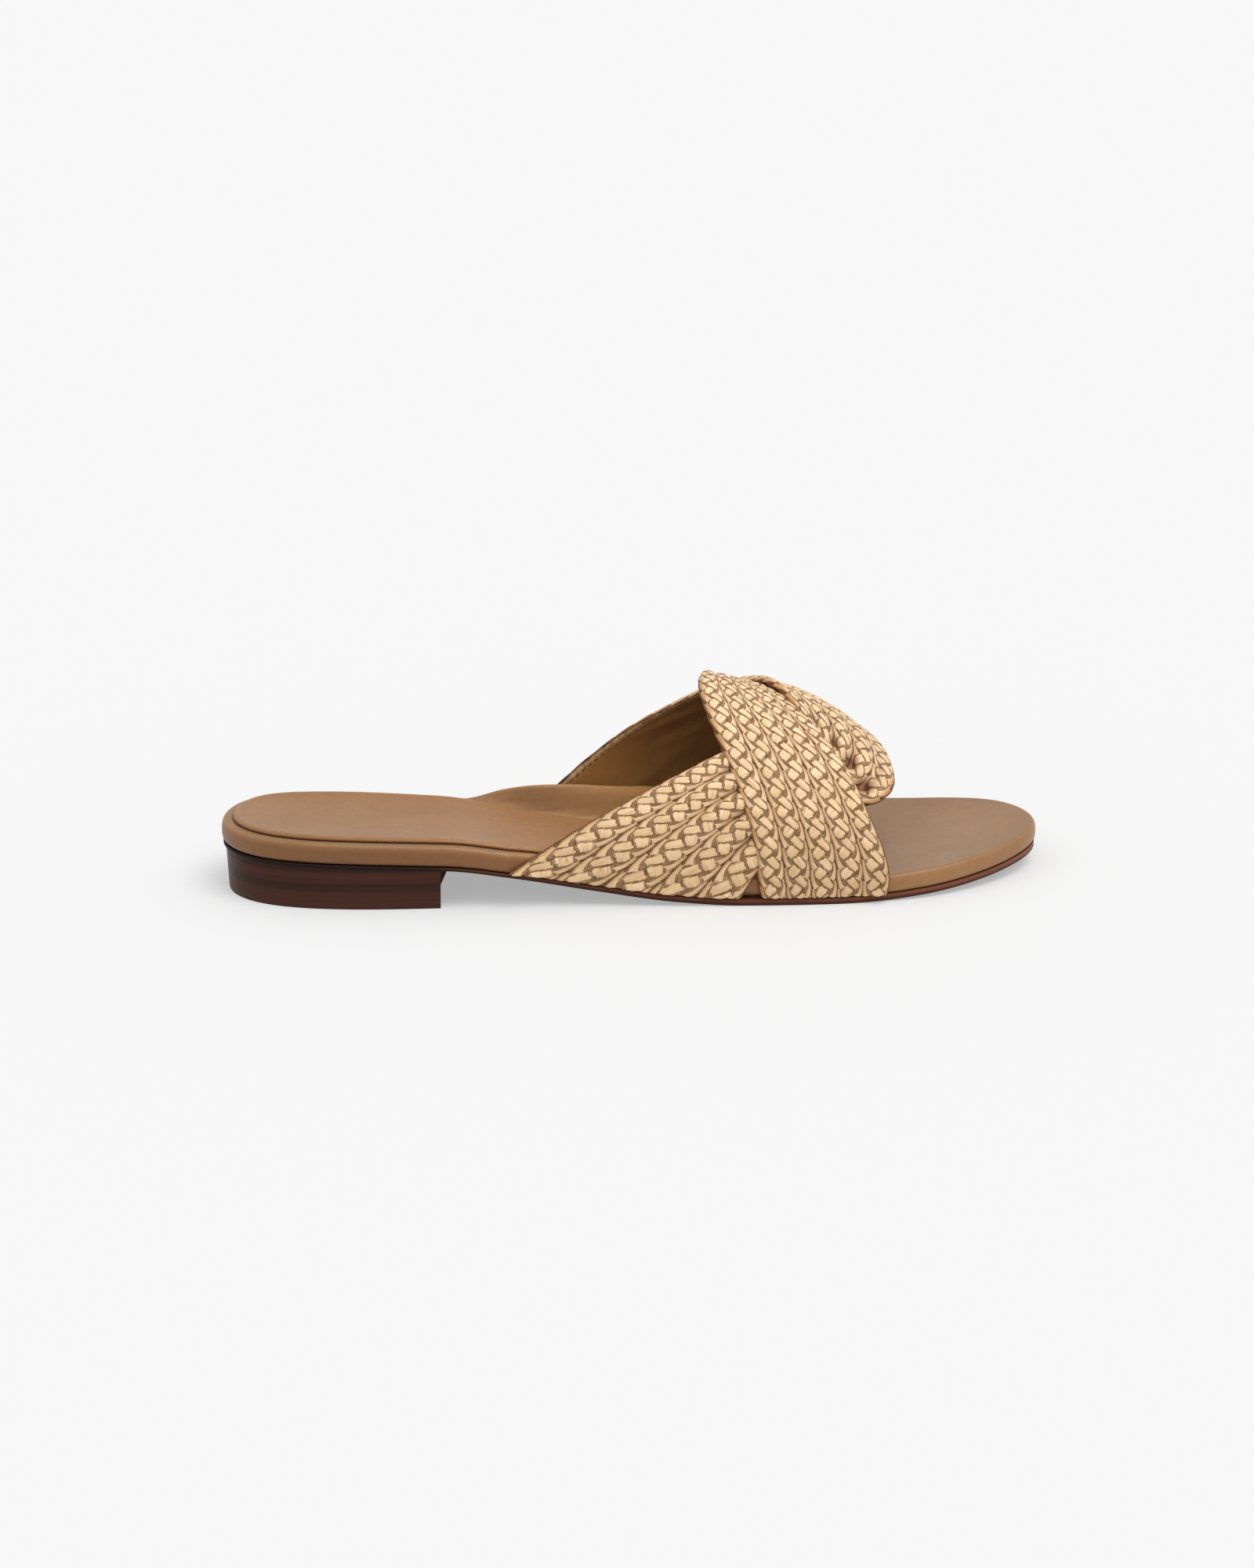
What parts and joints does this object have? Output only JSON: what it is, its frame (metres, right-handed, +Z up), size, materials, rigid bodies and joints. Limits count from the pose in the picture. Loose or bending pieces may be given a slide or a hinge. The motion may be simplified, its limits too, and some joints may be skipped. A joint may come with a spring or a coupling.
{
  "type": "slide sandal",
  "caption": "Right slide sandal: two braided straps twisted into a knot over the instep, on a wrapped leather footbed with a low stacked heel.",
  "frame": {"origin": "on the floor, under the middle of the whole sandal", "axes": "+X from heel to toe, +Y to the inner side of the foot, +Z up"},
  "size_m": [0.25, 0.0854, 0.0632],
  "materials": {
    "braided_straw": "matte plaited straw with fine fibres",
    "sock_leather": "smooth tan leather, soft sheen",
    "footbed_leather": "smooth tan leather, soft sheen",
    "outsole_leather": "stained leather with a sealed edge",
    "heel_stack": "stained leather stack, satin",
    "heel_wear_layer": "matte brown rubber"
  },
  "bodies": {
    "root": {"upper": "braided_straw", "insole": "sock_leather", "midsole": "footbed_leather", "outsole": "outsole_leather", "heel": "heel_stack", "heel_top_piece": "heel_wear_layer"}
  },
  "joints": []
}
